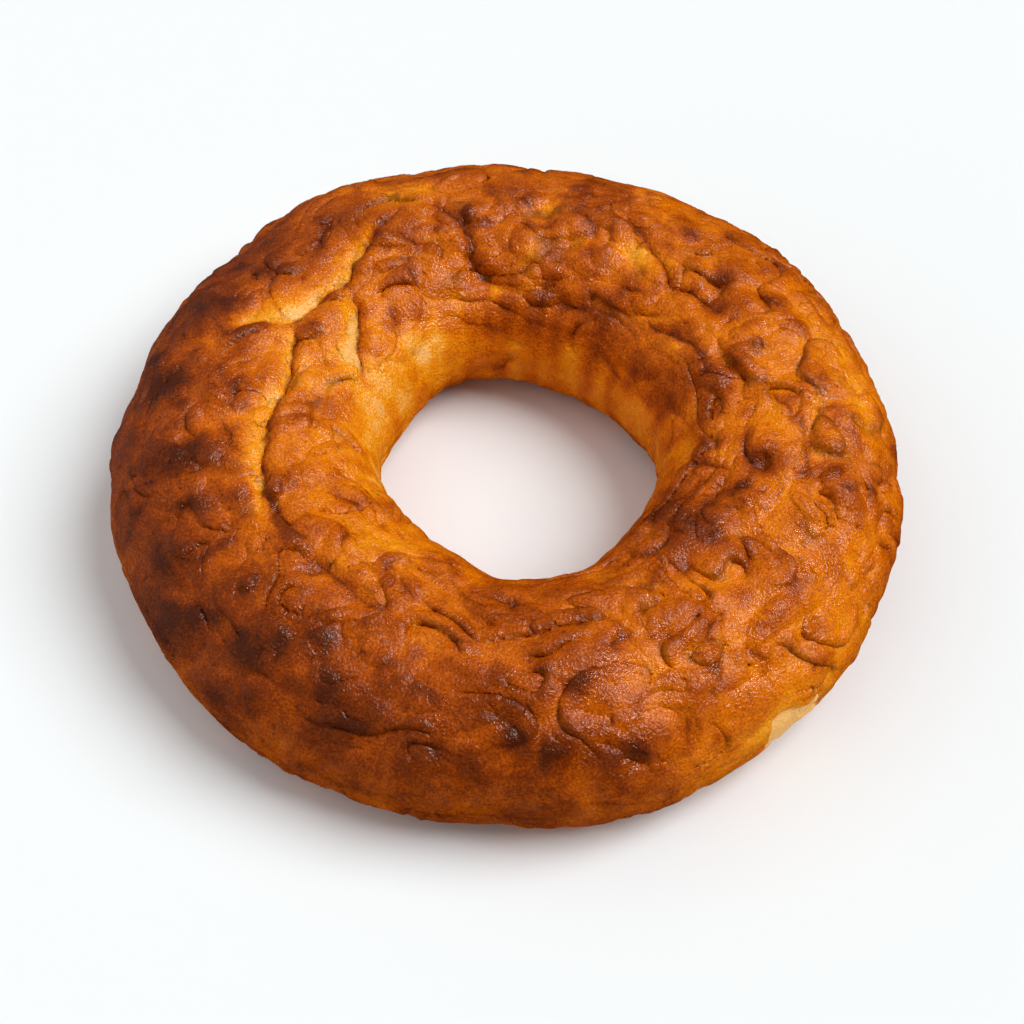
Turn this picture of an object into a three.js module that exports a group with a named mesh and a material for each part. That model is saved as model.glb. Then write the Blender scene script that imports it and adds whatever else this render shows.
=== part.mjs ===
// Soft bread ring: one roll of dough, joined end to end and baked lying flat.
// Millimetres, +Z up. The ring stands on z = 0 with the middle of its box on the Z axis.
// A place on the crust is given by two angles. The bearing goes round the ring from +X towards +Y.
// The section angle goes round the roll: 0 outermost, 90 on the crown, 180 innermost, 270 underneath.
import * as THREE from 'three';

// Driving dimensions of the ring and of its roll.
const RING_RADIUS = 44.1;       // Z axis to the middle of the roll
const ROLL_HALF_WIDTH = 20.9;
const ROLL_HEIGHT = 27.6;
const SHOULDER = 0.42;          // height of the widest line, as a share of the roll's height
const CROWN_POWER = 2.12;       // roundness of the section above the shoulder, 2 for an ellipse
const BELLY_POWER = 2.4;        // and below it
const BASE_SINK = 1.7;          // how much of the belly the baking sheet has pressed flat

// Unevenness of the hand-made ring: [waves in one turn, size, bearing of a crest].
const RING_WAVES = [[2, 1.2, 110], [4, 0.5, 10], [5, 0.2, 335], [6, 0.25, 355]];
const WIDTH_WAVES = [[1, 1.3, 145], [2, 0.35, 15], [4, 0.4, 45]];
const HEIGHT_WAVES = [[1, 0.5, 25], [2, 0.2, 15]];

// Swellings of the dough and puffs of the crust: distance from one to the next, and size.
const SWELL = { pitch: 21, size: 1.0, seed: 3 };
const PUFF = { pitch: 10.5, size: 1.5, seed: 11 };
const PUFF_MIDDLE = 0.22;       // mean of the folded noise, taken off so that puffs add no volume
const FLANK_PUFF = 0.55;        // share of the puffs' size low on the outside
const WALL_PUFF = 0.25;         // share of it on the smooth wall of the hole
const FLANK_END = 45;           // section angles between which the puffs have their full size
const WALL_START = 150;
const BASE_FADE = 6;            // height over which the relief grows from nothing

// Creases and splits: depth, width of the flank towards the hole and away from it, and the path
// of the bottom of the fold as [bearing, section angle]. The narrower flank ends in a rolled lip.
const PATH_PIECES = 5;          // straight pieces in each stretch of a fold's rounded path
const FOLD_ROUNDING = 0.3;      // radius at the bottom of a fold
const LIP = 0.35;               // height of the lip, as a share of the fold's depth
const LIP_PLACE = 1.6;          // its distance from the fold and its width, as shares of the flank's width
const LIP_WIDTH = 0.9;
const CREASES = [
  // long split along the crown, in two reaches
  { depth: 1.5, inner: 1.0, outer: 3.0, path: [[118, 88], [127, 96], [135, 101], [148, 97], [155, 93]] },
  {
    depth: 1.7, inner: 1.0, outer: 3.0,
    path: [[152, 97], [157, 102], [166, 107], [173, 108], [181, 104], [190, 101], [198, 96], [212, 91]],
  },
  // its branches, up the inner side and down the outer side
  { depth: 1.2, inner: 1.2, outer: 2.4, path: [[135, 102], [138, 114], [143, 122], [151, 130], [159, 141]] },
  { depth: 0.8, inner: 1.2, outer: 2.4, path: [[154, 94], [157, 84], [162, 75]] },
  // fold across the roll at the back
  { depth: 1.6, inner: 2.2, outer: 1.6, path: [[92, 134], [99, 128], [101, 115], [102, 98], [108, 81]] },
  { depth: 0.8, inner: 1.4, outer: 1.4, path: [[111, 112], [115, 101], [119, 91]] },
  // creases of the right half
  { depth: 1.3, inner: 1.4, outer: 1.6, path: [[31, 103], [38, 100], [45, 103], [53, 96], [66, 83]] },
  { depth: 0.9, inner: 1.4, outer: 1.4, path: [[14, 119], [26, 118], [38, 126], [44, 124]] },
  { depth: 0.9, inner: 1.4, outer: 1.4, path: [[46, 117], [52, 116], [57, 121]] },
  { depth: 1.0, inner: 1.6, outer: 1.4, path: [[60, 136], [68, 138], [77, 137]] },
  { depth: 0.9, inner: 1.4, outer: 1.4, path: [[340, 80], [350, 81], [358, 86]] },
  // creases of the front
  { depth: 0.9, inner: 1.4, outer: 1.4, path: [[222, 88], [228, 92], [240, 90], [247, 91]] },
  { depth: 0.8, inner: 1.4, outer: 1.4, path: [[210, 115], [214, 122], [220, 124]] },
  { depth: 0.8, inner: 1.4, outer: 1.4, path: [[264, 116], [270, 113], [270, 101]] },
];

// Blisters stand up and hollows go in: [bearing, section angle, radius round the ring,
// radius round the roll, height].
const BLISTERS = [
  [75, 95, 3.6, 2.4, 0.9],
  [63, 149, 3.0, 3.4, 0.9],
  [144, 110, 4.2, 2.2, 0.7],
  [309, 127, 3.2, 2.8, 0.9],
  [266, 106, 3.6, 2.6, 0.7],
  [227, 107, 2.4, 1.8, 0.9],
  [348, 102, 2.8, 1.6, 0.8],
  [103, 110, 2.6, 4.2, 0.8],
  [121, 45, 7.0, 7.0, 0.3],
  [180, 18, 7.0, 6.0, 0.6],
  [347, 16, 7.0, 6.0, 0.6],
  [331, 8, 16.0, 9.0, 0.8],
  [314, 6, 8.0, 8.0, 0.4],
  [280, 140, 20.0, 9.0, 0.8],
  [140, 175, 20.0, 8.0, 0.5],
  [343, 98, 2.2, 2.4, -1.9],
  [310, 101, 2.2, 1.6, -1.1],
  [31, 97, 2.0, 1.8, -1.3],
  [38, 87, 2.4, 1.8, -0.9],
  [97, 125, 3.4, 3.2, -1.2],
  [144, 38, 7.0, 6.0, -0.4],
  [104, 48, 4.0, 4.0, -0.8],
  [112, 50, 3.0, 4.0, -0.8],
  [267, 143, 5.0, 4.0, -0.7],
  [290, 145, 4.0, 4.0, -0.5],
];

// Facets: rings round the Z axis, and steps over the roll from one edge of the flat base to the other.
const FACETS_ROUND = 128;
const FACETS_ACROSS = 45;

const CRUST = { color: 0xb9661c, roughness: 0.5, metalness: 0 };

const radians = THREE.MathUtils.degToRad;
const smooth = THREE.MathUtils.smoothstep;

function waves(rows, bearing) {
  let total = 0;
  for (const [times, size, crest] of rows) {
    total += size * Math.cos(times * (bearing - radians(crest)));
  }
  return total;
}

function signedPower(value, power) {
  return Math.sign(value) * Math.abs(value) ** power;
}

// Point of the smooth ring, before any crease, on the flat base where it would go below the floor.
function rollPoint(bearing, section) {
  const middle = RING_RADIUS + waves(RING_WAVES, bearing);
  const halfWidth = ROLL_HALF_WIDTH + waves(WIDTH_WAVES, bearing);
  const height = ROLL_HEIGHT + waves(HEIGHT_WAVES, bearing);
  const upper = Math.sin(section) >= 0;
  const power = 2 / (upper ? CROWN_POWER : BELLY_POWER);
  const radius = middle + halfWidth * signedPower(Math.cos(section), power);
  const reach = upper ? (1 - SHOULDER) * height : SHOULDER * height + BASE_SINK;
  const z = SHOULDER * height + reach * signedPower(Math.sin(section), power);
  return new THREE.Vector3(radius * Math.cos(bearing), radius * Math.sin(bearing), Math.max(z, 0));
}

// Outward direction of the smooth ring.
function rollNormal(bearing, section) {
  const step = 0.02;
  const along = rollPoint(bearing + step, section).sub(rollPoint(bearing - step, section));
  const across = rollPoint(bearing, section + step).sub(rollPoint(bearing, section - step));
  return along.cross(across).normalize();
}

// Section angle at which the belly meets the floor, on the outside of the roll.
function floorAngle() {
  const shoulderHeight = SHOULDER * ROLL_HEIGHT;
  const sine = (shoulderHeight / (shoulderHeight + BASE_SINK)) ** (BELLY_POWER / 2);
  return -Math.asin(sine);
}

function mixedBits(x, y, z, seed) {
  let bits = Math.imul(x, 0x8da6b343) ^ Math.imul(y, 0xd8163841) ^ Math.imul(z, 0xcb1ab31f);
  bits = Math.imul(bits ^ Math.imul(seed, 0x165667b1), 0x5bd1e995);
  bits ^= bits >>> 13;
  bits = Math.imul(bits, 0x27d4eb2f);
  return (bits ^ (bits >>> 15)) >>> 0;
}

// Slope towards one of the twelve edge middles of a cube, chosen by the low bits.
function slope(bits, x, y, z) {
  const low = bits & 15;
  const first = low < 8 ? x : y;
  let second = z;
  if (low < 4) second = y;
  if (low === 12 || low === 14) second = x;
  return (low & 1 ? -first : first) + (low & 2 ? -second : second);
}

// Gradient noise between about -1 and 1, with one swing about every unit.
function noise(x, y, z, seed) {
  const cell = [Math.floor(x), Math.floor(y), Math.floor(z)];
  const part = [x - cell[0], y - cell[1], z - cell[2]];
  const ease = part.map((t) => t * t * t * (t * (6 * t - 15) + 10));
  let total = 0;
  for (let corner = 0; corner < 8; corner++) {
    const dx = corner & 1;
    const dy = (corner >> 1) & 1;
    const dz = corner >> 2;
    const weight = (dx ? ease[0] : 1 - ease[0]) * (dy ? ease[1] : 1 - ease[1]) * (dz ? ease[2] : 1 - ease[2]);
    const bits = mixedBits(cell[0] + dx, cell[1] + dy, cell[2] + dz, seed);
    total += weight * slope(bits, part[0] - dx, part[1] - dy, part[2] - dz);
  }
  return total;
}

function noiseAt(point, { pitch, seed }) {
  return noise(point.x / pitch, point.y / pitch, point.z / pitch, seed);
}

// Share of the puffs' full size at a section angle in degrees.
function puffShare(section) {
  const low = FLANK_PUFF + (1 - FLANK_PUFF) * smooth(section, 0, FLANK_END);
  const high = 1 - (1 - WALL_PUFF) * smooth(section, WALL_START - 30, WALL_START + 10);
  return Math.min(low, high);
}

// Points along a rounded curve through a path's places.
function foldPoints(path) {
  const curve = new THREE.SplineCurve(path.map((place) => new THREE.Vector2(...place)));
  const places = curve.getPoints(PATH_PIECES * (path.length - 1));
  return places.map(({ x, y }) => rollPoint(radians(x), radians(y)));
}

// Height of the crust at a crease: a V whose flanks have their own widths and a lip on the
// narrower one, fading at both ends.
function creaseHeight(crease, point, normal) {
  let nearest = Infinity;
  let side = 1;
  let travelled = 0;
  let place = 0;
  for (let i = 0; i + 1 < crease.points.length; i++) {
    const start = crease.points[i];
    const along = crease.points[i + 1].clone().sub(start);
    const offset = point.clone().sub(start);
    const share = THREE.MathUtils.clamp(offset.dot(along) / along.lengthSq(), 0, 1);
    const distance = offset.distanceTo(along.clone().multiplyScalar(share));
    if (distance < nearest) {
      nearest = distance;
      side = Math.sign(normal.clone().cross(along).dot(offset));
      place = travelled + share * along.length();
    }
    travelled += along.length();
  }
  const { inner, outer } = crease;
  const width = Math.min(inner, outer);
  const steepSide = inner <= outer ? 1 : -1;
  const soft = Math.hypot(nearest, FOLD_ROUNDING) - FOLD_ROUNDING;
  let height = -Math.exp(-soft / (side > 0 ? inner : outer));
  if (side === steepSide) {
    height += LIP * Math.exp(-(((nearest - LIP_PLACE * width) / (LIP_WIDTH * width)) ** 2));
  }
  const fade = smooth(place, -1, 4) * smooth(travelled - place, -1, 4);
  return crease.depth * fade * height;
}

// Height of a round-topped blister at a point, or depth of a hollow.
function blisterHeight([bearing, section, along, across, height], place) {
  const round = THREE.MathUtils.euclideanModulo(place.bearing - bearing + 180, 360) - 180;
  const sideways = (radians(round) * place.radius) / along;
  const upwards = (radians(place.section - section) * ROLL_HALF_WIDTH * 0.85) / across;
  return height * Math.exp(-(sideways ** 2 + upwards ** 2));
}

const creaseLines = CREASES.map((crease) => ({ ...crease, points: foldPoints(crease.path) }));

// How far the crust stands off the smooth ring.
function relief(bearing, section, point, normal) {
  const place = {
    bearing: THREE.MathUtils.radToDeg(bearing),
    section: THREE.MathUtils.radToDeg(section),
    radius: Math.hypot(point.x, point.y),
  };
  let height = SWELL.size * noiseAt(point, SWELL);
  height += PUFF.size * puffShare(place.section) * (Math.abs(noiseAt(point, PUFF)) - PUFF_MIDDLE);
  for (const crease of creaseLines) height += creaseHeight(crease, point, normal);
  for (const blister of BLISTERS) height += blisterHeight(blister, place);
  return height * smooth(point.z, 0, BASE_FADE);
}

function crustPoint(bearing, section) {
  const point = rollPoint(bearing, section);
  const normal = rollNormal(bearing, section);
  point.addScaledVector(normal, relief(bearing, section, point, normal));
  point.z = Math.max(point.z, 0);
  return point;
}

// Closed skin of the ring. The last row of facets across is the flat base.
function ringGeometry() {
  const rows = FACETS_ACROSS + 1;
  const first = floorAngle();
  const span = Math.PI - 2 * first;
  const positions = [];
  for (let i = 0; i < FACETS_ROUND; i++) {
    for (let j = 0; j < rows; j++) {
      const bearing = (2 * Math.PI * i) / FACETS_ROUND;
      positions.push(...crustPoint(bearing, first + (span * j) / FACETS_ACROSS).toArray());
    }
  }
  const corner = (i, j) => (i % FACETS_ROUND) * rows + (j % rows);
  const faces = [];
  for (let i = 0; i < FACETS_ROUND; i++) {
    for (let j = 0; j < rows; j++) {
      faces.push(corner(i, j), corner(i + 1, j), corner(i + 1, j + 1));
      faces.push(corner(i, j), corner(i + 1, j + 1), corner(i, j + 1));
    }
  }
  const geometry = new THREE.BufferGeometry();
  geometry.setAttribute('position', new THREE.Float32BufferAttribute(positions, 3));
  geometry.setIndex(faces);
  geometry.computeBoundingBox();
  const middle = geometry.boundingBox.getCenter(new THREE.Vector3());
  geometry.translate(-middle.x, -middle.y, 0);
  geometry.computeVertexNormals();
  return geometry;
}

function breadRing() {
  const ring = new THREE.Mesh(ringGeometry(), new THREE.MeshStandardMaterial(CRUST));
  ring.name = 'bread_ring';
  return ring;
}

const group = new THREE.Group();
group.add(breadRing());

export default group;
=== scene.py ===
"""Soft bread ring with a blistered, wrinkled crust, on a pale floor in soft light."""
from math import cos, pi, radians, sin

import bpy
import numpy as np
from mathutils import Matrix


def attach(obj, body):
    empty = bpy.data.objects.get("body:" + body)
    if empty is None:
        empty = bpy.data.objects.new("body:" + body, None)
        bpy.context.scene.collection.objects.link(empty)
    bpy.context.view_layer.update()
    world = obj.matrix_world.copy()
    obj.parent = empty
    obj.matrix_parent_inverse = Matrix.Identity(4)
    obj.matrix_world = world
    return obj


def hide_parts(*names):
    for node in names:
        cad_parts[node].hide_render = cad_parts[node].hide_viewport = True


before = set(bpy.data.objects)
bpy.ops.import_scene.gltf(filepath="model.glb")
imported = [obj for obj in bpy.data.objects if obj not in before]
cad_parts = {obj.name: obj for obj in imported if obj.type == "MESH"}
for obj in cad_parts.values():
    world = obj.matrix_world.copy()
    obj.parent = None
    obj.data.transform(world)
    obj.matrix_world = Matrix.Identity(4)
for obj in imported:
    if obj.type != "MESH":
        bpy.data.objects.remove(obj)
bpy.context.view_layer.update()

MM = 0.001

# ---------------------------------------------------------------- driving dimensions, in mm
# A place on the crust is a bearing round the ring from +X and a section angle round the roll:
# 0 outermost, 90 on the crown, 180 innermost, 270 underneath. Both are in degrees.
RING_RADIUS = 44.1
ROLL_HALF_WIDTH = 20.9
ROLL_HEIGHT = 27.6
SHOULDER = 0.42                 # height of the widest line, as a share of the roll's height
CROWN_POWER = 2.12              # roundness of the section above and below the shoulder
BELLY_POWER = 2.4
BASE_SINK = 1.7                 # how much of the belly is pressed flat
SECTION_ROUND = 0.85            # mean radius of the section, as a share of its half width

# Waves of the ring's radius, the roll's half width and its height: how many go round the ring,
# their size, and the bearing of a crest.
RING_WAVES = [(2, 1.2, 110), (4, 0.5, 10), (5, 0.2, 335), (6, 0.25, 355)]
WIDTH_WAVES = [(1, 1.3, 145), (2, 0.35, 15), (4, 0.4, 45)]
HEIGHT_WAVES = [(1, 0.5, 25), (2, 0.2, 15)]

# Noise layers of the relief: distance from one bump to the next, size and seed.
SWELL = (21.0, 1.0, 3)
PUFF = (10.5, 1.5, 11)
PUFF_MIDDLE = 0.22              # taken off the puffs, so that the ring keeps its size
FLANK_PUFF = 0.55               # share of the puffs at the foot of the flank
WALL_PUFF = 0.25                # and on the wall of the hole
FLANK_END = 45                  # section angles where the flank ends and the wall starts
WALL_START = 150
WALL_LEAD = 30                  # how far before its start the wall begins to tell
WALL_LAG = 10                   # how far after it the puffs are down to the wall's share
BASE_FADE = 6.0                 # height over the floor from which the relief has its full size

# Creases: depth, width of the flank towards the hole and away from it, and the fold's path.
CREASES = [
    (1.5, 1.0, 3.0, [(118, 88), (127, 96), (135, 101), (148, 97), (155, 93)]),
    (1.7, 1.0, 3.0, [(152, 97), (157, 102), (166, 107), (173, 108), (181, 104), (190, 101),
                     (198, 96), (212, 91)]),
    (1.2, 1.2, 2.4, [(135, 102), (138, 114), (143, 122), (151, 130), (159, 141)]),
    (0.8, 1.2, 2.4, [(154, 94), (157, 84), (162, 75)]),
    (1.6, 2.2, 1.6, [(92, 134), (99, 128), (101, 115), (102, 98), (108, 81)]),
    (0.8, 1.4, 1.4, [(111, 112), (115, 101), (119, 91)]),
    (1.3, 1.4, 1.6, [(31, 103), (38, 100), (45, 103), (53, 96), (66, 83)]),
    (0.9, 1.4, 1.4, [(14, 119), (26, 118), (38, 126), (44, 124)]),
    (0.9, 1.4, 1.4, [(46, 117), (52, 116), (57, 121)]),
    (1.0, 1.6, 1.4, [(60, 136), (68, 138), (77, 137)]),
    (0.9, 1.4, 1.4, [(340, 80), (350, 81), (358, 86)]),
    (0.9, 1.4, 1.4, [(222, 88), (228, 92), (240, 90), (247, 91)]),
    (0.8, 1.4, 1.4, [(210, 115), (214, 122), (220, 124)]),
    (0.8, 1.4, 1.4, [(264, 116), (270, 113), (270, 101)]),
]
DARKEST_DEPTH = 1.0             # depth from which a crease's painted shade line is as dark as it gets
PATH_PIECES = 5                 # straight pieces in each stretch of a fold's rounded path
FOLD_ROUNDING = 0.3             # radius at the bottom of a fold
FOLD_REACH = 4                  # how far a fold is felt, in widths of its wider flank
FOLD_END = 4.0                  # stretch over which a fold fades at each end
FOLD_END_SHARE = 0.4            # and the most of a short fold that it takes
FOLD_OVERRUN = 1                # how far past its end a fold is still seen
LIP = 0.35                      # height of the lip on a fold's steep side, as a share of its depth
LIP_PLACE = 1.6                 # its distance from the fold, as a share of the flank's width
LIP_WIDTH = 0.9                 # and its own width
SPLITS = CREASES[:4]            # those torn open by the rising dough, paler on their open flank
SPLIT_TOAST = -0.42
SPLIT_REACH = (0.8, 2.4)        # middle and width of that flank, in mm from the fold

# Blisters and hollows: bearing, section angle, radius round the ring and round the roll, height.
BLISTERS = [
    (75, 95, 3.6, 2.4, 0.9),
    (63, 149, 3.0, 3.4, 0.9),
    (144, 110, 4.2, 2.2, 0.7),
    (309, 127, 3.2, 2.8, 0.9),
    (266, 106, 3.6, 2.6, 0.7),
    (227, 107, 2.4, 1.8, 0.9),
    (348, 102, 2.8, 1.6, 0.8),
    (103, 110, 2.6, 4.2, 0.8),
    (121, 45, 7.0, 7.0, 0.3),
    (180, 18, 7.0, 6.0, 0.6),
    (347, 16, 7.0, 6.0, 0.6),
    (331, 8, 16.0, 9.0, 0.8),
    (314, 6, 8.0, 8.0, 0.4),
    (280, 140, 20.0, 9.0, 0.8),
    (140, 175, 20.0, 8.0, 0.5),
    (343, 98, 2.2, 2.4, -1.9),
    (310, 101, 2.2, 1.6, -1.1),
    (31, 97, 2.0, 1.8, -1.3),
    (38, 87, 2.4, 1.8, -0.9),
    (97, 125, 3.4, 3.2, -1.2),
    (144, 38, 7.0, 6.0, -0.4),
    (104, 48, 4.0, 4.0, -0.8),
    (112, 50, 3.0, 4.0, -0.8),
    (267, 143, 5.0, 4.0, -0.7),
    (290, 145, 4.0, 4.0, -0.5),
]

# Fine relief, too small for the CAD solid. WARP bends the noise layers below it, WAVER the folds.
WARP = (9.0, 2.4, 41)
WAVER = (2.4, 0.6, 47)
WRINKLE = (5.0, 1.6, 23)
CRINKLE = (2.3, 0.5, 31)
WRINKLE_TOP = 0.25              # how soon the wrinkles level off
WRINKLE_STRETCH = 0.4           # how far the ring is drawn in for the wrinkles, which run round it

# Sheets of crust that lie over each other, with edges along the contour lines of a noise layer.
SHEETS = [(9.5, 1.15, 37), (6.0, 0.4, 43)]
SHEET_STEPS = 2.6               # edges from one bump of the noise to the next
SHEET_EDGE = 0.13               # share of a sheet's width that its steep edge takes
SHEET_GAPS = (7.0, 59)          # distance between the places where the sheets fade, and their seed
SHEET_GAP_EDGE = 0.3            # how softly they fade there
SHEET_FOOT = 0.5                # share of a sheet that lies nearer to the edge before it
SHEET_SHADE = 0.8               # how dark the painted shade line at the foot of an edge is
CALM_PATCHES = [                # where the wrinkles fade: a place as for a blister, and by how much
    (205, 30, 30.0, 12.0, 0.6),
    (268, 10, 24.0, 8.0, 0.5),
    (165, 150, 34.0, 14.0, 0.4),
    (300, 40, 20.0, 9.0, 0.2),
    (70, 35, 50.0, 9.0, 0.6),
    (138, 40, 20.0, 9.0, 0.5),
    (247, 74, 3.5, 3.5, 0.95),
]
PITS = (1.9, 0.3, 91)           # small sparse pits: their distance, depth and seed
PIT_RANGE = (0.38, 0.8)         # noise at the rim of a pit and at its bottom
# how much darker the pits are painted
PIT_DARKENING = 0.25

# Small creases: depth, steep side (1 on the left of the path) and path.
SMALL_CREASES = [
    (0.5, 1, [(1, 140), (5, 144), (12, 147)]),
    (0.5, 1, [(35, 163), (43, 160), (54, 154)]),
    (0.6, 1, [(72, 119), (77, 118), (81, 114)]),
    (0.7, -1, [(23, 79), (27, 78), (31, 75)]),
    (0.8, 1, [(-7, 87), (0, 91), (8, 99)]),
    (0.9, -1, [(72, 102), (70, 98), (71, 93), (75, 90), (79, 93)]),
    (0.8, -1, [(60, 142), (64, 148), (66, 156), (62, 162)]),
    (0.8, 1, [(83, 90), (87, 86), (92, 79)]),
    (0.6, 1, [(79, 100), (86, 101)]),
    (0.7, -1, [(113, 83), (117, 87), (121, 89)]),
    (0.8, 1, [(117, 126), (119, 119), (118, 111)]),
    (1.0, -1, [(124, 64), (127, 70), (131, 77), (134, 79)]),
    (0.7, 1, [(139, 72), (144, 76), (149, 79)]),
    (0.6, -1, [(130, 121), (131, 130), (134, 142)]),
    (0.6, 1, [(174, 89), (179, 90)]),
    (0.8, 1, [(183, 85), (187, 87), (194, 91)]),
    (0.6, 1, [(143, 62), (147, 52), (153, 41)]),
    (0.6, 1, [(166, 40), (170, 33), (177, 26)]),
    (0.6, -1, [(168, 66), (172, 55), (179, 45)]),
    (0.7, 1, [(208, 97), (210, 93), (215, 90)]),
    (0.5, 1, [(204, 81), (207, 78), (211, 74)]),
    (0.9, -1, [(224, 84), (228, 89), (229, 97), (232, 93)]),
    (0.8, -1, [(224, 112), (226, 106), (229, 102)]),
    (0.5, 1, [(232, 133), (236, 132)]),
    (0.6, 1, [(238, 111), (240, 104)]),
    (0.6, 1, [(242, 110), (245, 105), (250, 100)]),
    (0.4, 1, [(242, 123), (246, 127), (251, 129)]),
    (0.7, 1, [(286, 81), (289, 85), (292, 86)]),
    (0.6, 1, [(293, 83), (298, 79), (299, 73)]),
    (0.4, 1, [(253, 42), (258, 38), (267, 33)]),
    (0.6, 1, [(295, 40), (294, 27)]),
    (0.6, 1, [(270, 56), (272, 42)]),
    (0.7, 1, [(304, 65), (304, 72), (309, 75)]),
    (0.6, 1, [(309, 61), (309, 48), (311, 37)]),
    (0.8, 1, [(316, 79), (320, 85), (325, 87)]),
    (0.5, 1, [(320, 44), (320, 33)]),
    (0.7, -1, [(349, 48), (348, 40), (353, 26)]),
    (0.9, 1, [(339, 27), (340, 22), (340, 16)]),
    (0.6, 1, [(26, 100), (27, 94), (30, 90)]),
    (0.6, -1, [(33, 100), (35, 96), (33, 92)]),
    (0.8, 1, [(88, 172), (90, 180), (95, 188), (100, 195)]),
    (0.8, 1, [(342, 132), (341, 121), (340, 110)]),
    (1.0, 1, [(342, 101), (346, 107), (353, 108)]),
    (0.8, 1, [(326, 103), (328, 110), (333, 113), (339, 111)]),
    (0.8, 1, [(304, 137), (304, 124), (307, 118), (313, 118), (315, 126)]),
    (0.5, -1, [(304, -4), (309, -11), (315, -7), (320, -3)]),
    (0.4, -1, [(239, -2), (245, -4), (249, -12)]),
    (0.4, -1, [(253, -6), (259, -11), (267, -6), (277, -5)]),
]
SMALL_CREASE_WIDTHS = (0.8, 1.6)    # of the steep flank and of the open one

# Tongues of crust pushed over each other, by chance: middle bearing and section angle, spread of
# each, how many, heading of their steep edge (0 along the ring, 90 to the hole), radius and height.
TONGUE_ZONES = [
    (32, 106, 30, 22, 24, 90, 3.3, 0.45),
    (88, 98, 17, 22, 16, 50, 3.4, 0.5),
    (145, 118, 22, 12, 12, 200, 4.2, 0.6),
    (210, 104, 20, 14, 10, 90, 3.4, 0.4),
    (268, 84, 24, 20, 14, 60, 2.8, 0.25),
    (322, 90, 20, 20, 18, 120, 3.0, 0.35),
    (155, 45, 26, 14, 10, 250, 4.6, 0.2),
    (90, 20, 60, 22, 16, 250, 4.6, 0.2),
    (350, 20, 24, 20, 10, 0, 3.8, 0.2),
    (270, 10, 60, 14, 12, 0, 3.8, 0.2),
]
TONGUE_SEED = 6955
TONGUE_TURN = 65                # spread of the headings
TONGUE_SHAPES = (0.7, 1.5)      # least and most radius, as shares of the zone's
TONGUE_WIDTH = (1.0, 1.7)       # how much wider than long a tongue is
TONGUE_HEIGHTS = (0.3, 1.2)     # least and most height, as shares of the zone's
TONGUE_REACH = 1.5              # how far a tongue is felt, in radii
TONGUE_RISE = (-0.9, 0.4)       # where it leaves the crust and is at full height, in radii
TONGUE_RIM = 0.6                # height at its rim, as a share of its middle's
TONGUE_EDGE = 1.1               # length of the steep edge
TONGUE_GROOVE = 0.4             # depth of the groove before it, as a share of the tongue's height
GROOVE_PLACE = 1.03             # distance of the groove from the middle, in radii
GROOVE_WIDTH = 0.5              # its width, as a share of the steep edge
TONGUE_SHADE = 0.7              # how dark the painted shade line round it is, for each mm of its height
LEAN = 0.6                      # how far the slopes are pushed out over the creases
LEAN_LIMIT = 0.45               # the most that they are pushed, in mm
LEAN_SPAN = 0.05                # least length over which a slope is taken
BASE_DIMPLES = (7.0, 0.5, 53)   # hollows in the underside: distance, depth and seed
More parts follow.
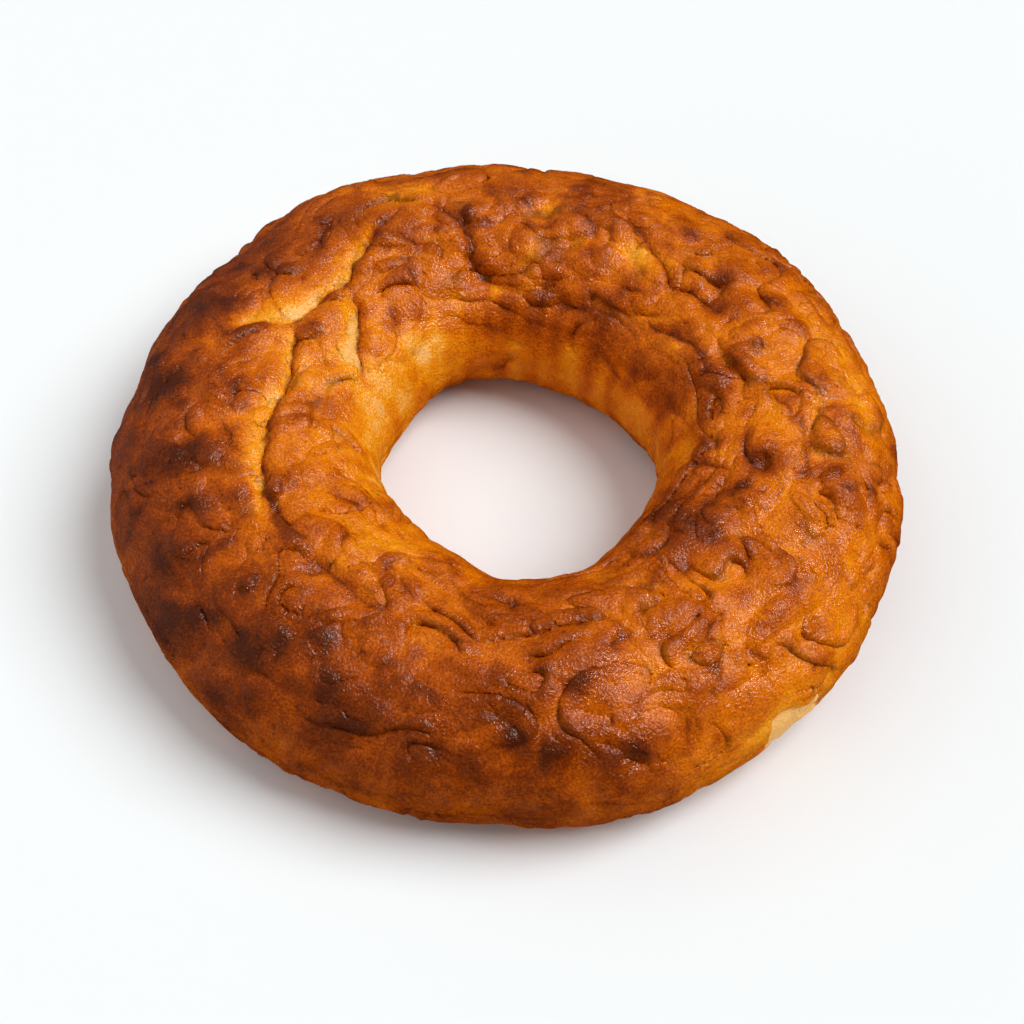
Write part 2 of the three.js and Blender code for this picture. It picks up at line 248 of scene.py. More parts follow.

# How browned the crust is, with painted shade and light mixed in: all over, what each kind of
# relief adds, and patches placed as the blisters are.
TOAST = 0.455
PUFF_TOAST = 0.25
WRINKLE_TOAST = 0.2
SHEET_TOAST = 0.15
TONGUE_TOAST = 0.1
# Painted shade along the bottom of each fold: how dark it is, and its width in mm.
FOLD_PAINTED_SHADE = 0.2
FOLD_PAINTED_SHADE_WIDTH = 1.2
STREAKS = (1.9, 0.22, 71)       # streaks down the wall of the hole: distance, how dark, and seed
STREAK_STRETCH = 0.1            # how fast they change down the wall, against round it
RIB_HEIGHT = 0.35               # ribs that go down the wall too
RIB_PITCH = 1.5                 # their distance, against that of the streaks
# Most patches brown or pale the crust; some paint shade on flanks turned from the key, some darken
# hollows, and some paint highlights and the floor's reflection where they fall.
TOAST_AND_PAINTED_LIGHT_PATCHES = [
    (170, 152, 25.0, 13.0, -0.36),
    (115, 170, 20.0, 7.0, -0.12),
    (80, 155, 16.0, 8.0, 0.06),
    (30, 178, 26.0, 6.0, -0.16),
    (28, 155, 16.0, 6.0, 0.12),
    (22, 102, 22.0, 12.0, -0.08),
    (345, 124, 5.0, 5.0, -0.08),
    (345, 98, 4.0, 4.0, 0.12),
    (305, 112, 10.0, 10.0, -0.08),
    (240, 128, 5.0, 5.0, -0.12),
    (10, 50, 14.0, 9.0, -0.06),
    (265, 35, 22.0, 12.0, 0.12),
    (225, 65, 14.0, 10.0, 0.08),
    (188, 5, 12.0, 6.0, -0.15),
    (310, -5, 24.0, 7.0, -0.16),
    (205, 30, 70.0, 12.0, 0.32),
    (140, 55, 14.0, 7.0, 0.2),
    (275, 112, 20.0, 8.0, 0.12),
    (318, 122, 13.0, 8.0, 0.1),
    (70, 140, 12.0, 8.0, 0.12),
    (235, 112, 10.0, 8.0, -0.15),
    (318, 55, 20.0, 12.0, -0.16),
    (310, 8, 14.0, 5.0, -0.15),
    (2, 66, 6.0, 6.0, -0.15),
    (352, 80, 5.0, 5.0, -0.2),
    (52, 112, 4.0, 4.0, -0.12),
    (72, 62, 8.0, 5.0, 0.15),
    (108, 57, 6.0, 4.0, 0.15),
    (157, 52, 7.0, 5.0, 0.18),
    (0, 170, 12.0, 6.0, -0.22),
    (270, 0, 30.0, 7.0, 0.1),
    (335, 101, 1.2, 0.9, 0.5),
    (65, 161, 1.2, 3.0, -0.2),
    (95, 137, 1.0, 3.0, -0.25),
    (84, 133, 1.6, 3.0, -0.2),
    (131, 145, 3.0, 1.5, -0.2),
    (123, 156, 3.0, 1.5, -0.2),
    (229, 97, 1.5, 2.5, -0.2),
    (21, 157, 3.0, 1.5, 0.2),
    (30, 125, 2.0, 1.0, -0.2),
    (84, 116, 1.5, 2.0, -0.25),
    (320, 111, 4.0, 2.5, 0.2),
    (173, 62, 3.0, 3.0, 0.35),
    (153, 66, 3.0, 4.0, 0.25),
    (191, 68, 3.0, 5.0, 0.35),
    (229, 45, 4.0, 3.0, 0.2),
    (245, 36, 5.0, 7.0, 0.15),
    (218, 38, 2.5, 2.0, 0.15),
    (205, 42, 4.0, 2.0, 0.15),
    (235, 65, 4.0, 3.5, 0.2),
    (203, 85, 2.0, 1.4, 0.25),
    (51, 77, 2.0, 1.4, 0.35),
    (25, 145, 8.0, 3.0, 0.18),
    (8, 121, 5.0, 3.0, 0.15),
    (324, 133, 6.0, 4.0, 0.25),
    (346, 128, 4.0, 2.0, 0.3),
    (276, 40, 3.0, 2.0, 0.3),
    (270, 48, 2.0, 2.0, 0.25),
    (285, 35, 3.0, 2.0, 0.25),
    (175, 128, 3.5, 4.0, 0.35),
    (343, 98, 2.0, 2.0, 0.35),
    (310, 101, 1.8, 1.4, 0.35),
    (31, 97, 1.6, 1.4, 0.35),
    (38, 87, 2.0, 1.4, 0.3),
    (55, 99, 7.0, 1.8, -0.25),
    (111, 71, 5.0, 4.0, -0.3),
    (82, 87, 3.0, 1.6, -0.2),
    (65, 57, 2.0, 3.0, -0.2),
    (152, 85, 5.0, 2.6, -0.25),
    (4, 95, 5.0, 1.8, -0.2),
    (286, 121, 4.0, 4.0, -0.05),
    (8, 48, 12.0, 5.0, -0.15),
]
TOAST_COLOURS = [
    (0.0, (0.92, 0.46, 0.12)),
    (0.08, (0.90, 0.36, 0.02)),
    (0.15, (0.88, 0.295, 0.005)),
    (0.35, (0.71, 0.167, 0.001)),
    (0.55, (0.45, 0.078, 0.001)),
    (0.75, (0.22, 0.032, 0.001)),
    (1.0, (0.07, 0.011, 0.002)),
]
SMUDGES = (4.2, 0.2, 83)        # soft dark smudges: their distance, how dark, and seed
SMUDGE_RANGE = (0.05, 0.7)      # noise where they begin and where they are darkest

# Noise in the crust's material: distance, detail and size.
BLOTCHES = [(11.0, 2.0, 0.3), (3.2, 3.0, 0.35), (0.4, 1.0, 0.42)]
GRAIN = [(1.4, 2.0, 0.22), (0.4, 1.0, 0.23)]
GLOSS_CHANGE = (4.0, 2.0, 0.6)
LINE_BREAKS = (3.0, 2.0, 2.5)

CRUST_ROUGHNESS = 0.28
CRUST_GLOSS = 0.11
GLOSS_COLOUR = (1.0, 0.8, 0.55)

# Painted shade: dark lines at the bottom of the folds and at the foot of steep edges.
PAINTED_SHADE_COLOUR = (0.07, 0.01, 0.001)
LINE_WIDTHS = (0.3, 0.35)       # half width of the faintest, and what the darkest adds
LINE_STRENGTH = 0.65            # mean strength, which the breaks vary
LINE_DARKEST = 0.55
LINE_FADE = (0.9, 1.5)          # distance from the fold over which a line is let go
LINE_REACH = 2.0                # the greatest distance that the mesh keeps

# Place of the pale patch that stayed unbaked, as corners going round it.
BARE_PATCH = [(309, -27), (313, -29), (317, -14), (316.5, 2), (309, 13), (307, 11), (306.5, -12)]
BARE_WAVER = (2.2, 0.7, 61)     # noise that its edge follows: distance, size and seed
BARE_EDGE = 0.25                # half width of its edge
BARE_DEPTH = 0.3
BARE_COLOUR = (0.97, 0.51, 0.15)
BARE_ROUGHNESS = 0.4            # what it adds to the crust's roughness

# Mesh: steps round the ring and round the roll before it is thinned, and the triangles left.
STEPS_ROUND = 1200
STEPS_OVER = 320
TRIANGLES = 196000

# Floor, with its size and its distance below the crust in metres.
FLOOR_SIZE = 6.0
FLOOR_DROP = 0.0001
FLOOR_COLOUR = (0.848, 0.88, 0.885)

# Camera, in mm and degrees.
IMAGE_WIDTH = 1024
FOCAL_PIXELS = 2000.0
CAMERA_ELEVATION = 52.3
CAMERA_DISTANCE = 340.5
CAMERA_AIM = (0.1, -0.3)
SENSOR = 36.0
FARTHEST_SEEN = 10              # in metres

# Lamps: bearing, elevation and strength. The glints are seen in the gloss alone.
KEY = (0, 54, 2.8)
KEY_SOFTNESS = 42               # the angle that the key fills
GLINTS = [(0, 54, 8.0), (65, 58, 1.2)]
GLINT_SOFTNESS = 13
GLINT_COLOUR = (0.85, 0.98, 1.35)
SKY_BEARING = 180               # where the sky is brightest, and how bright it is there
SKY_ELEVATION = 40
SKY_STRENGTH = 0.97
SKY_SPREAD = 0.3                # how far the bright half of the sky reaches past a right angle


# ---------------------------------------------------------------- form of the ring
def waves(rows, bearing):
    return sum(size * np.cos(times * (bearing - radians(crest))) for times, size, crest in rows)


def signed_power(value, power):
    return np.sign(value) * np.abs(value) ** power


def roll_point(bearing, section):
    """Points of the smooth ring, flat where they would go below the floor."""
    middle = RING_RADIUS + waves(RING_WAVES, bearing)
    half_width = ROLL_HALF_WIDTH + waves(WIDTH_WAVES, bearing)
    height = ROLL_HEIGHT + waves(HEIGHT_WAVES, bearing)
    upper = np.sin(section) >= 0
    power = np.where(upper, 2 / CROWN_POWER, 2 / BELLY_POWER)
    radius = middle + half_width * signed_power(np.cos(section), power)
    reach = np.where(upper, (1 - SHOULDER) * height, SHOULDER * height + BASE_SINK)
    z = SHOULDER * height + reach * signed_power(np.sin(section), power)
    return np.stack([radius * np.cos(bearing), radius * np.sin(bearing), np.maximum(z, 0)], -1)


def roll_normal(bearing, section, step=0.02):
    along = roll_point(bearing + step, section) - roll_point(bearing - step, section)
    across = roll_point(bearing, section + step) - roll_point(bearing, section - step)
    normal = np.cross(along, across)
    return normal / np.linalg.norm(normal, axis=-1, keepdims=True)


# ---------------------------------------------------------------- noise
def mixed_bits(x, y, z, seed):
    bits = x * np.uint32(0x8DA6B343) ^ y * np.uint32(0xD8163841) ^ z * np.uint32(0xCB1AB31F)
    bits = (bits ^ np.uint32(seed * 0x165667B1 & 0xFFFFFFFF)) * np.uint32(0x5BD1E995)
    bits = bits ^ (bits.view(np.int32) >> 13).view(np.uint32)
    bits = bits * np.uint32(0x27D4EB2F)
    return bits ^ (bits.view(np.int32) >> 15).view(np.uint32)


def slope(bits, x, y, z):
    low = bits & np.uint32(15)
    first = np.where(low < 8, x, y)
    second = np.where(low < 4, y, np.where((low == 12) | (low == 14), x, z))
    return np.where(low & 1, -first, first) + np.where(low & 2, -second, second)


def noise(points, seed):
    """Gradient noise between about -1 and 1, with one swing about every unit."""
    floor = np.floor(points)
    part = points - floor
    cell = floor.astype(np.int64).astype(np.uint32)
    ease = part ** 3 * (part * (6 * part - 15) + 10)
    total = np.zeros(len(points))
    for corner in range(8):
        step = np.array([corner & 1, corner >> 1 & 1, corner >> 2])
        weight = np.prod(np.where(step, ease, 1 - ease), axis=-1)
        x, y, z = (cell + step.astype(np.uint32)).T
        total += weight * slope(mixed_bits(x, y, z, seed), *(part - step).T)
    return total


def noise_shift(points, pitch, size, seed):
    """A smooth shift of each point, up to about size each way."""
    return size * np.stack([noise(points / pitch, seed + axis) for axis in range(3)], -1)


def smooth(value, low, high):
    share = np.clip((value - low) / (high - low), 0, 1)
    return share * share * (3 - 2 * share)


# ---------------------------------------------------------------- relief of the crust
def rounded_path(path):
    """Places along a rounded curve through a path's places."""
    knots = np.array([path[0], *path, path[-1]], float)
    share = np.linspace(0, 1, PATH_PIECES, endpoint=False)[:, None]
    rows = []
    for before, start, end, after in zip(knots, knots[1:], knots[2:], knots[3:]):
        cubic = 1.5 * (start - end) + 0.5 * (after - before)
        square = before - 2.5 * start + 2 * end - 0.5 * after
        rows.append(start + share * ((end - before) / 2 + share * (square + share * cubic)))
    return np.vstack([*rows, knots[-1:]])


class Crust:
    """The mesh's points on the smooth ring, and the relief, browning and painted shade and light
    that build up on them.
    """

    def __init__(self, bearing, section):
        self.bearing = np.degrees(bearing)
        self.section = np.degrees(section)
        self.points = roll_point(bearing, section)
        self.normals = roll_normal(bearing, section)
        self.radius = np.hypot(self.points[:, 0], self.points[:, 1])
        self.wavy = self.points + noise_shift(self.points, *WAVER)
        count = len(self.points)
        self.height = np.zeros(count)
        self.toast_and_painted_light = np.full(count, TOAST)
        self.bare = np.zeros(count)
        self.line_place = np.full(count, LINE_REACH)
        self.line_shade = np.zeros(count)

    def noise(self, pitch, seed, shift=0.0):
        return noise((self.points + shift) / pitch, seed)

    def near_spot(self, bearing, section, along, across):
        """One in the middle of a spot, falling smoothly to nothing around it."""
        turn = (self.bearing - bearing + 180) % 360 - 180
        sideways = np.radians(turn) * self.radius / along
        upwards = np.radians(self.section - section) * ROLL_HALF_WIDTH * SECTION_ROUND / across
        return np.exp(-(sideways ** 2 + upwards ** 2))

    def within(self, middle, reach):
        """Numbers of the points nearer to the middle than reach."""
        return np.nonzero(((self.points - middle) ** 2).sum(1) < reach ** 2)[0]

    def paint_shade_line(self, near, place, shade):
        """Paints a dark line of shade where place, the distance to it, is nought."""
        weight = shade * (1 - smooth(np.abs(place), *LINE_FADE))
        darker = weight > self.line_shade[near]
        self.line_shade[near] = np.where(darker, weight, self.line_shade[near])
        self.line_place[near] = np.where(darker, place, self.line_place[near])

    def add_fold(self, depth, left, right, path, shade, split=False):
        """Presses a fold in along a path, with painted shade at its bottom. left and right are the
        widths of its flanks.
        """
        bearing, section = np.radians(rounded_path(path)).T
        corners = roll_point(bearing, section)
        middle = (corners.min(0) + corners.max(0)) / 2
        half_length = np.linalg.norm(corners - middle, axis=1).max()
        near = self.within(middle, half_length + FOLD_REACH * max(left, right))
        points, normals = self.wavy[near], self.normals[near]
        nearest = np.full(len(near), np.inf)
        side = np.ones(len(near))
        place = np.zeros(len(near))
        travelled = 0.0
        for start, end in zip(corners[:-1], corners[1:]):
            along = end - start
            length = np.linalg.norm(along)
            offset = points - start
            share = np.clip(offset @ along / length ** 2, 0, 1)
            distance = np.linalg.norm(offset - share[:, None] * along, axis=1)
            closer = distance < nearest
            turn = np.sign(np.einsum("ij,ij->i", np.cross(normals, along), offset))
            nearest = np.where(closer, distance, nearest)
            side = np.where(closer, turn, side)
            place = np.where(closer, travelled + share * length, place)
            travelled += length
        ends = -FOLD_OVERRUN, min(FOLD_END, FOLD_END_SHARE * travelled)
        fade = smooth(place, *ends) * smooth(travelled - place, *ends)
        soft = np.sqrt(nearest ** 2 + FOLD_ROUNDING ** 2) - FOLD_ROUNDING
        self.height[near] -= depth * fade * np.exp(-soft / np.where(side > 0, left, right))
        steep = 1 if left <= right else -1
        width = min(left, right)
        rolled = np.exp(-((nearest - LIP_PLACE * width) / (LIP_WIDTH * width)) ** 2)
        self.height[near] += np.where(side == steep, LIP * depth * fade * rolled, 0)
        # painted shade line along the fold
        self.paint_shade_line(near, side * nearest, shade * fade)
        # painted shade along the bottom of the fold
        bottom = np.exp(-(nearest / FOLD_PAINTED_SHADE_WIDTH) ** 2)
        self.toast_and_painted_light[near] += FOLD_PAINTED_SHADE * shade * fade * bottom
        if split:
            start, width = SPLIT_REACH
            flank = np.exp(-(np.maximum(nearest - start, 0) / width) ** 2)
            self.toast_and_painted_light[near] += SPLIT_TOAST * fade * np.where(side == steep, 0, flank)

    def add_tongue(self, bearing, section, heading, along, across, size):
        """Raises a tongue of crust, steep at its head and fading out at its tail."""
        here = np.radians([[bearing], [section]])
        middle, normal = roll_point(*here)[0], roll_normal(*here)[0]
        round_ring = np.array([-sin(radians(bearing)), cos(radians(bearing)), 0])
        forward = cos(heading) * round_ring + sin(heading) * np.cross(normal, round_ring)
        near = self.within(middle, TONGUE_REACH * max(along, across))
        offset = self.wavy[near] - middle
        ahead = offset @ forward / along
        aside = offset @ np.cross(normal, forward) / across
        ring = np.hypot(ahead, aside)
        edge = TONGUE_EDGE / along
        rise = size * smooth(ahead, *TONGUE_RISE)
        top = 1 - smooth(ring, 1 - edge, 1)
        dome = TONGUE_RIM + (1 - TONGUE_RIM) * np.clip(1 - ring ** 2, 0, 1)
        groove = np.exp(-((ring - GROOVE_PLACE) / (GROOVE_WIDTH * edge)) ** 2)
        self.height[near] += rise * (top * dome - TONGUE_GROOVE * groove)
        self.toast_and_painted_light[near] += TONGUE_TOAST * rise * top
        # painted shade round the tongue's edge
        self.paint_shade_line(near, (ring - 1) * (along + across) / 2, TONGUE_SHADE * rise)

    def outline_share(self, corners, shift):
        """One inside a convex outline of (bearing, section) corners, nothing outside.

        The outline is moved outwards by the shift at each point."""
        inside = np.ones(len(self.points))
        degree_here = np.radians(self.radius)
        degree_outside = np.radians(RING_RADIUS + ROLL_HALF_WIDTH)
        degree_over = np.radians(ROLL_HALF_WIDTH * SECTION_ROUND)
        following = corners[1:] + corners[:1]
        for (bearing, section), (next_bearing, next_section) in zip(corners, following):
            aside = (self.bearing - bearing) * degree_here
            above = (self.section - section) * degree_over
            run = (next_bearing - bearing) * degree_outside
            rise = (next_section - section) * degree_over
            distance = (run * above - rise * aside) / np.hypot(run, rise)
            inside *= smooth(distance + shift, -BARE_EDGE, BARE_EDGE)
        return inside


def puff_share(section):
    """How large the puffs are: less on the flank and least on the wall of the hole."""
    low = FLANK_PUFF + (1 - FLANK_PUFF) * smooth(section, 0, FLANK_END)
    wall = smooth(section, WALL_START - WALL_LEAD, WALL_START + WALL_LAG)
    high = 1 - (1 - WALL_PUFF) * wall
    return np.minimum(low, high)


def add_relief(crust):
    """The relief that the CAD solid has too."""
    pitch, size, seed = SWELL
    crust.height += size * crust.noise(pitch, seed)
    pitch, size, seed = PUFF
    puff = np.abs(crust.noise(pitch, seed)) - PUFF_MIDDLE
    crust.height += size * puff_share(crust.section) * puff
    crust.toast_and_painted_light += PUFF_TOAST * puff
    for crease in CREASES:
        depth, inner, outer, path = crease
        shade = min(depth, DARKEST_DEPTH)
        crust.add_fold(depth, inner, outer, path, shade, crease in SPLITS)
    for *spot, size in BLISTERS:
        crust.height += size * crust.near_spot(*spot)


def add_wrinkles(crust):
    """Wrinkles and overlapping sheets, both stretched round the ring."""
    share = puff_share(crust.section)
    for *spot, calm in CALM_PATCHES:
        share *= 1 - calm * crust.near_spot(*spot)
    outwards = crust.points * [1, 1, 0] / crust.radius[:, None]
    shift = noise_shift(crust.points, *WARP) - WRINKLE_STRETCH * RING_RADIUS * outwards
    for pitch, size, seed in (WRINKLE, CRINKLE):
        wrinkle = WRINKLE_TOP * np.tanh(np.abs(crust.noise(pitch, seed, shift)) / WRINKLE_TOP)
        crust.height += size * share * (wrinkle - WRINKLE_TOP / 2)
        crust.toast_and_painted_light += WRINKLE_TOAST * size * share * (wrinkle - WRINKLE_TOP / 2)
    gap_pitch, gap_seed = SHEET_GAPS
    for pitch, size, seed in SHEETS:
        part = crust.noise(pitch, seed, shift) * SHEET_STEPS % 1
        profile = np.minimum(part / (1 - SHEET_EDGE), (1 - part) / SHEET_EDGE) - 0.5
        gaps = crust.noise(gap_pitch, gap_seed + seed, shift)
        present = size * share * smooth(gaps, -SHEET_GAP_EDGE, SHEET_GAP_EDGE)
        crust.height += present * profile
        crust.toast_and_painted_light += SHEET_TOAST * present * profile
        foot = (1 - part - (part < SHEET_FOOT)) * pitch / SHEET_STEPS
        # painted shade at the foot of each sheet's edge
        crust.paint_shade_line(np.arange(len(part)), foot, SHEET_SHADE * present)


def add_pits(crust):
    pitch, size, seed = PITS
    pit = smooth(crust.noise(pitch, seed), *PIT_RANGE) * puff_share(crust.section)
    crust.height -= size * pit
    crust.toast_and_painted_light += PIT_DARKENING * pit


def add_tongues(crust):
    chance = np.random.default_rng(TONGUE_SEED)
    for zone in TONGUE_ZONES:
        bearing, section, bearing_spread, section_spread, count, heading, radius, height = zone
        for _ in range(count):
            place = chance.normal(bearing, bearing_spread), chance.normal(section, section_spread)
            turn = radians(chance.normal(heading, TONGUE_TURN))
            along = radius * chance.uniform(*TONGUE_SHAPES)
            across = along * chance.uniform(*TONGUE_WIDTH)
            size = height * chance.uniform(*TONGUE_HEIGHTS)
            crust.add_tongue(*place, turn, along, across, size)


def add_small_creases(crust):
    steep, open_side = SMALL_CREASE_WIDTHS
    for depth, side, path in SMALL_CREASES:
        widths = (steep, open_side) if side > 0 else (open_side, steep)
        crust.add_fold(depth, *widths, path, depth)


def add_bare_patch(crust):
    pitch, size, seed = BARE_WAVER
    crust.bare = crust.outline_share(BARE_PATCH, size * crust.noise(pitch, seed))
    crust.height -= BARE_DEPTH * crust.bare
    crust.line_shade *= 1 - crust.bare


def add_browning_and_painted_light(crust):
    # patches of browning, painted shade and painted light, then soft dark smudges
    for *spot, size in TOAST_AND_PAINTED_LIGHT_PATCHES:
        crust.toast_and_painted_light += size * crust.near_spot(*spot)
    pitch, size, seed = SMUDGES
    shift = noise_shift(crust.points, *WARP)
    smudge = smooth(crust.noise(pitch, seed, shift), *SMUDGE_RANGE)
    crust.toast_and_painted_light += size * puff_share(crust.section) * smudge


def add_streaks(crust):
    """Streaks and ribs that go down the wall of the hole."""
    pitch, size, seed = STREAKS
    turn, down = np.radians(crust.bearing), np.radians(crust.section)
    places = np.stack([np.cos(turn), np.sin(turn), STREAK_STRETCH * down], -1)
    places = RING_RADIUS / 2 * places
    wall = smooth(crust.section, WALL_START - WALL_LEAD, WALL_START)
    crust.toast_and_painted_light += size * wall * noise(places / pitch, seed)
    crust.height += RIB_HEIGHT * wall * noise(places / (RIB_PITCH * pitch), seed + 1)


def leaning(crust):
    """How far each point is pushed sideways, downhill, so that the folds close over the creases."""
    shape = (STEPS_ROUND, STEPS_OVER)
    points = crust.points.reshape(*shape, 3)
    height = crust.height.reshape(shape)
    push = np.zeros_like(points)
    for axis in (0, 1):
        run = np.roll(points, -1, axis) - np.roll(points, 1, axis)
        rise = np.roll(height, -1, axis) - np.roll(height, 1, axis)
        length = np.maximum(np.linalg.norm(run, axis=-1), LEAN_SPAN)
        push -= (rise / length ** 2)[..., None] * run
    size = np.maximum(np.linalg.norm(push, axis=-1, keepdims=True), 1e-6)
    limited = LEAN_LIMIT * np.tanh(LEAN * size / LEAN_LIMIT)
    return (push / size * limited).reshape(-1, 3)


def crust_points(crust):
    """The mesh's points, with the relief ended where the roll meets the floor."""
    pitch, size, seed = BASE_DIMPLES
    above_base = smooth(crust.points[:, 2], 0, BASE_FADE)
    crust.height *= above_base
    points = crust.points + crust.height[:, None] * crust.normals
    points += above_base[:, None] * leaning(crust)
    dimples = size * np.maximum(crust.noise(pitch, seed), 0) * (crust.points[:, 2] <= 0)
    points[:, 2] = np.maximum(points[:, 2], 0) + dimples
    return points


# ---------------------------------------------------------------- mesh
def add_values(mesh, name, values):
    layer = mesh.attributes.new(name, "FLOAT", "POINT")
    layer.data.foreach_set("value", values.astype(np.float32))


def grid_mesh(points):
    """A closed mesh of squares through the points, which go round the ring row by row."""
    i, j = (a.ravel() for a in np.meshgrid(range(STEPS_ROUND), range(STEPS_OVER), indexing="ij"))
    after, over = (i + 1) % STEPS_ROUND, (j + 1) % STEPS_OVER
    faces = np.stack([i * STEPS_OVER + j, after * STEPS_OVER + j,
                      after * STEPS_OVER + over, i * STEPS_OVER + over], -1)
    mesh = bpy.data.meshes.new("crust_grid")
    mesh.vertices.add(len(points))
    mesh.vertices.foreach_set("co", (points * MM).astype(np.float32).ravel())
    mesh.loops.add(faces.size)
    mesh.loops.foreach_set("vertex_index", faces.astype(np.int32).ravel())
    mesh.polygons.add(len(faces))
    mesh.polygons.foreach_set("loop_start", np.arange(0, faces.size, 4, dtype=np.int32))
    mesh.update(calc_edges=True)
    return mesh


def thinned(mesh):
    """The mesh with its triangles spent where the crust bends most."""
    full = bpy.data.objects.new("full_crust", mesh)
    bpy.context.collection.objects.link(full)
    thin = full.modifiers.new("thin", "DECIMATE")
    thin.ratio = TRIANGLES / (2 * len(mesh.polygons))
    graph = bpy.context.evaluated_depsgraph_get()
    result = bpy.data.meshes.new_from_object(full.evaluated_get(graph))
    bpy.data.objects.remove(full)
    result.name = "bread_ring_crust"
    return result


def bread_mesh():
    """The crust's mesh with the middle of its box over the origin, and where that middle was."""
    bearing = np.linspace(0, 2 * pi, STEPS_ROUND, endpoint=False)
    section = np.linspace(-pi / 2, 1.5 * pi, STEPS_OVER, endpoint=False)
    crust = Crust(*(a.ravel() for a in np.meshgrid(bearing, section, indexing="ij")))
    add_relief(crust)
    add_wrinkles(crust)
    add_pits(crust)
    add_tongues(crust)
    add_small_creases(crust)
    add_bare_patch(crust)
    add_browning_and_painted_light(crust)
    add_streaks(crust)
    points = crust_points(crust)
    middle = (points.min(0) + points.max(0)) / 2
    points[:, :2] -= middle[:2]
    mesh = grid_mesh(points)
    add_values(mesh, "toast_and_painted_light", crust.toast_and_painted_light)
    add_values(mesh, "bare", crust.bare)
    add_values(mesh, "line_place", np.clip(crust.line_place, -LINE_REACH, LINE_REACH))
    add_values(mesh, "line_shade", np.clip(crust.line_shade, 0, 1))
    mesh = thinned(mesh)
    mesh.polygons.foreach_set("use_smooth", np.ones(len(mesh.polygons), bool))
    mesh.update()
    return mesh, middle


# ---------------------------------------------------------------- materials
class Nodes:
    """Short calls for the nodes of one material or sky."""

    def __init__(self, owner):
        owner.use_nodes = True
        self.tree = owner.node_tree

    def feed(self, socket, value):
        if isinstance(value, bpy.types.NodeSocket):
            self.tree.links.new(value, socket)
        else:
            socket.default_value = value

    def value(self, name):
        node = self.tree.nodes.new("ShaderNodeAttribute")
        node.attribute_name = name
        return node.outputs["Fac"]

    def place(self, kind="Object"):
        return self.tree.nodes.new("ShaderNodeTexCoord").outputs[kind]

    def noise(self, pitch, detail):
        node = self.tree.nodes.new("ShaderNodeTexNoise")
        self.feed(node.inputs["Vector"], self.place())
        node.inputs["Scale"].default_value = 1 / (pitch * MM)
        node.inputs["Detail"].default_value = detail
        return node.outputs["Fac"]

    def math(self, operation, first, second=0.0, third=0.0):
        node = self.tree.nodes.new("ShaderNodeMath")
        node.operation = operation
        for socket, value in zip(node.inputs, (first, second, third)):
            self.feed(socket, value)
        return node.outputs[0]

    def dot(self, first, second):
        node = self.tree.nodes.new("ShaderNodeVectorMath")
        node.operation = "DOT_PRODUCT"
        self.feed(node.inputs[0], first)
        self.feed(node.inputs[1], second)
        return node.outputs["Value"]

    def varied(self, base, pitch, detail, size):
        """The base, raised and lowered by noise, whose middle is a half."""
        swing = self.math("SUBTRACT", self.noise(pitch, detail), 0.5)
        return self.math("MULTIPLY_ADD", swing, size, base)

    def mix(self, share, first, second):
        node = self.tree.nodes.new("ShaderNodeMix")
        node.data_type = "RGBA"
        self.feed(node.inputs["Factor"], share)
        self.feed(node.inputs[6], first)
        self.feed(node.inputs[7], second)
        return node.outputs[2]

    def ramp(self, value, stops):
        node = self.tree.nodes.new("ShaderNodeValToRGB")
        self.feed(node.inputs["Fac"], value)
        steps = node.color_ramp.elements
        while len(steps) < len(stops):
            steps.new(1.0)
        for step, (place, colour) in zip(steps, stops):
            step.position = place
            step.color = (*colour, 1)
        return node.outputs["Color"]

    def bump(self, height, distance, under=None):
        node = self.tree.nodes.new("ShaderNodeBump")
        self.feed(node.inputs["Height"], height)
        node.inputs["Distance"].default_value = distance * MM
        node.inputs["Strength"].default_value = 1.0
        if under is not None:
            self.feed(node.inputs["Normal"], under)
        return node.outputs["Normal"]


def painted_shade_share(nodes):
    """How dark the painted shade line at the bottom of a fold is, wider where the fold is deeper.
    """
    shade = nodes.value("line_shade")
    faintest, more = LINE_WIDTHS
    width = nodes.math("MULTIPLY_ADD", shade, more, faintest)
    ratio = nodes.math("DIVIDE", nodes.value("line_place"), width)
    squared = nodes.math("MULTIPLY", ratio, ratio)
    fall = nodes.math("EXPONENT", nodes.math("MULTIPLY", squared, -1.0))
    broken = nodes.varied(LINE_STRENGTH, *LINE_BREAKS)
    share = nodes.math("MULTIPLY", fall, nodes.math("MULTIPLY", shade, broken))
    return nodes.math("MAXIMUM", nodes.math("MINIMUM", share, LINE_DARKEST), 0.0)


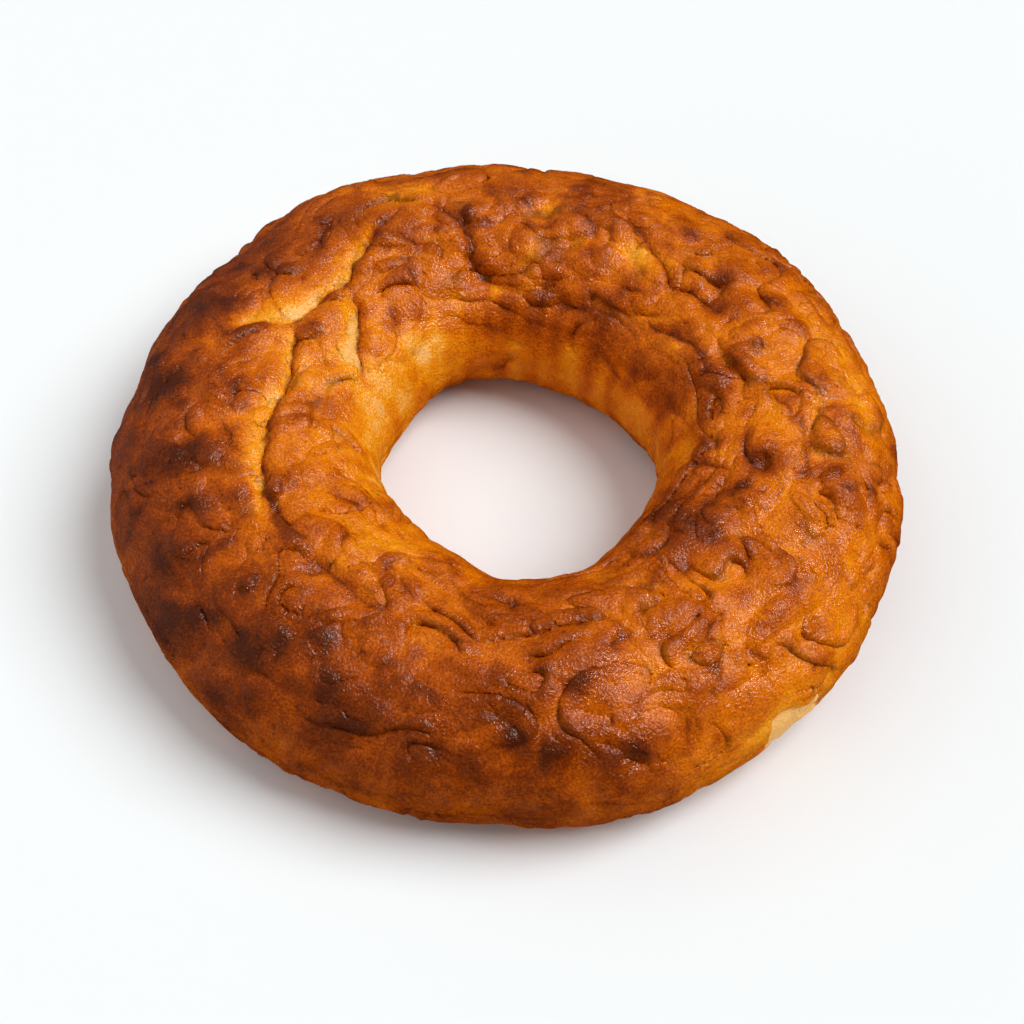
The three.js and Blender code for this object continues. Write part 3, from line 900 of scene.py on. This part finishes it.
def crust_material():
    """Baked crust: coloured by its browning and by painted light and shade, blotched, with painted
    shade lines in the folds and a fine grain.
    """
    material = bpy.data.materials.new("baked_crust")
    nodes = Nodes(material)
    shader = nodes.tree.nodes["Principled BSDF"]
    # browning, with painted shade and painted light mixed in
    brown_and_painted_light = nodes.value("toast_and_painted_light")
    for blotch in BLOTCHES:
        brown_and_painted_light = nodes.varied(brown_and_painted_light, *blotch)
    colour = nodes.ramp(brown_and_painted_light, TOAST_COLOURS)
    colour = nodes.mix(nodes.value("bare"), colour, (*BARE_COLOUR, 1))
    # painted shade lines at the bottom of the folds and edges
    colour = nodes.mix(painted_shade_share(nodes), colour, (*PAINTED_SHADE_COLOUR, 1))
    nodes.feed(shader.inputs["Base Color"], colour)
    rough = nodes.varied(CRUST_ROUGHNESS, *GLOSS_CHANGE)
    rough = nodes.math("MULTIPLY_ADD", nodes.value("bare"), BARE_ROUGHNESS, rough)
    nodes.feed(shader.inputs["Roughness"], rough)
    shader.inputs["Specular IOR Level"].default_value = CRUST_GLOSS
    shader.inputs["Specular Tint"].default_value = (*GLOSS_COLOUR, 1)
    normal = None
    for pitch, detail, distance in GRAIN:
        normal = nodes.bump(nodes.noise(pitch, detail), distance, normal)
    nodes.feed(shader.inputs["Normal"], normal)
    return material


def floor_material():
    material = bpy.data.materials.new("pale_floor")
    material.use_nodes = True
    shader = material.node_tree.nodes["Principled BSDF"]
    shader.inputs["Base Color"].default_value = (*FLOOR_COLOUR, 1)
    shader.inputs["Roughness"].default_value = 1.0
    shader.inputs["Specular IOR Level"].default_value = 0.0
    return material


# ---------------------------------------------------------------- stage
def add_floor():
    bpy.ops.mesh.primitive_plane_add(size=FLOOR_SIZE, location=(0, 0, -FLOOR_DROP))
    floor = bpy.context.object
    floor.name = "floor"
    floor.visible_glossy = False
    floor.data.materials.append(floor_material())


def add_sky():
    """Soft white light from the side away from the key, dim on the key's own side."""
    world = bpy.data.worlds.new("studio")
    nodes = Nodes(world)
    turn, lift = radians(SKY_BEARING), radians(SKY_ELEVATION)
    brightest = (cos(turn) * cos(lift), sin(turn) * cos(lift), sin(lift))
    facing = nodes.dot(nodes.place("Generated"), brightest)
    scale = 1 / (1 + SKY_SPREAD)
    share = nodes.math("MULTIPLY_ADD", facing, scale, SKY_SPREAD * scale)
    share = nodes.math("MAXIMUM", share, 0.0)
    background = nodes.tree.nodes["Background"]
    background.inputs["Color"].default_value = (1, 1, 1, 1)
    level = nodes.math("MULTIPLY", nodes.math("MULTIPLY", share, share), SKY_STRENGTH)
    nodes.feed(background.inputs["Strength"], level)
    bpy.context.scene.world = world


def add_lamp(name, bearing, elevation, strength, softness):
    lamp = bpy.data.lights.new(name, "SUN")
    lamp.energy = strength
    lamp.angle = radians(softness)
    holder = bpy.data.objects.new(name, lamp)
    holder.rotation_euler = (0, radians(90 - elevation), radians(bearing))
    bpy.context.collection.objects.link(holder)
    return holder


def add_lamps():
    add_lamp("key", *KEY, KEY_SOFTNESS)
    for row in GLINTS:
        glint = add_lamp("glint", *row, GLINT_SOFTNESS)
        glint.data.color = GLINT_COLOUR
        glint.visible_diffuse = False


def add_camera(middle):
    lens = bpy.data.cameras.new("camera")
    lens.sensor_width = SENSOR
    lens.lens = SENSOR * FOCAL_PIXELS / IMAGE_WIDTH
    lens.clip_end = FARTHEST_SEEN
    camera = bpy.data.objects.new("camera", lens)
    tilt = radians(CAMERA_ELEVATION)
    aim = np.array([*CAMERA_AIM, 0]) - [middle[0], middle[1], 0]
    camera.location = (aim + CAMERA_DISTANCE * np.array([0, -cos(tilt), sin(tilt)])) * MM
    camera.rotation_euler = (pi / 2 - tilt, 0, 0)
    bpy.context.collection.objects.link(camera)
    bpy.context.scene.camera = camera


mesh, middle = bread_mesh()
bread = bpy.data.objects.new("bread_crust", mesh)
bpy.context.collection.objects.link(bread)
bread.data.materials.append(crust_material())
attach(bread, "root")
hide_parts("bread_ring")
add_floor()
add_sky()
add_lamps()
add_camera(middle)
bpy.context.scene.view_settings.view_transform = "Standard"
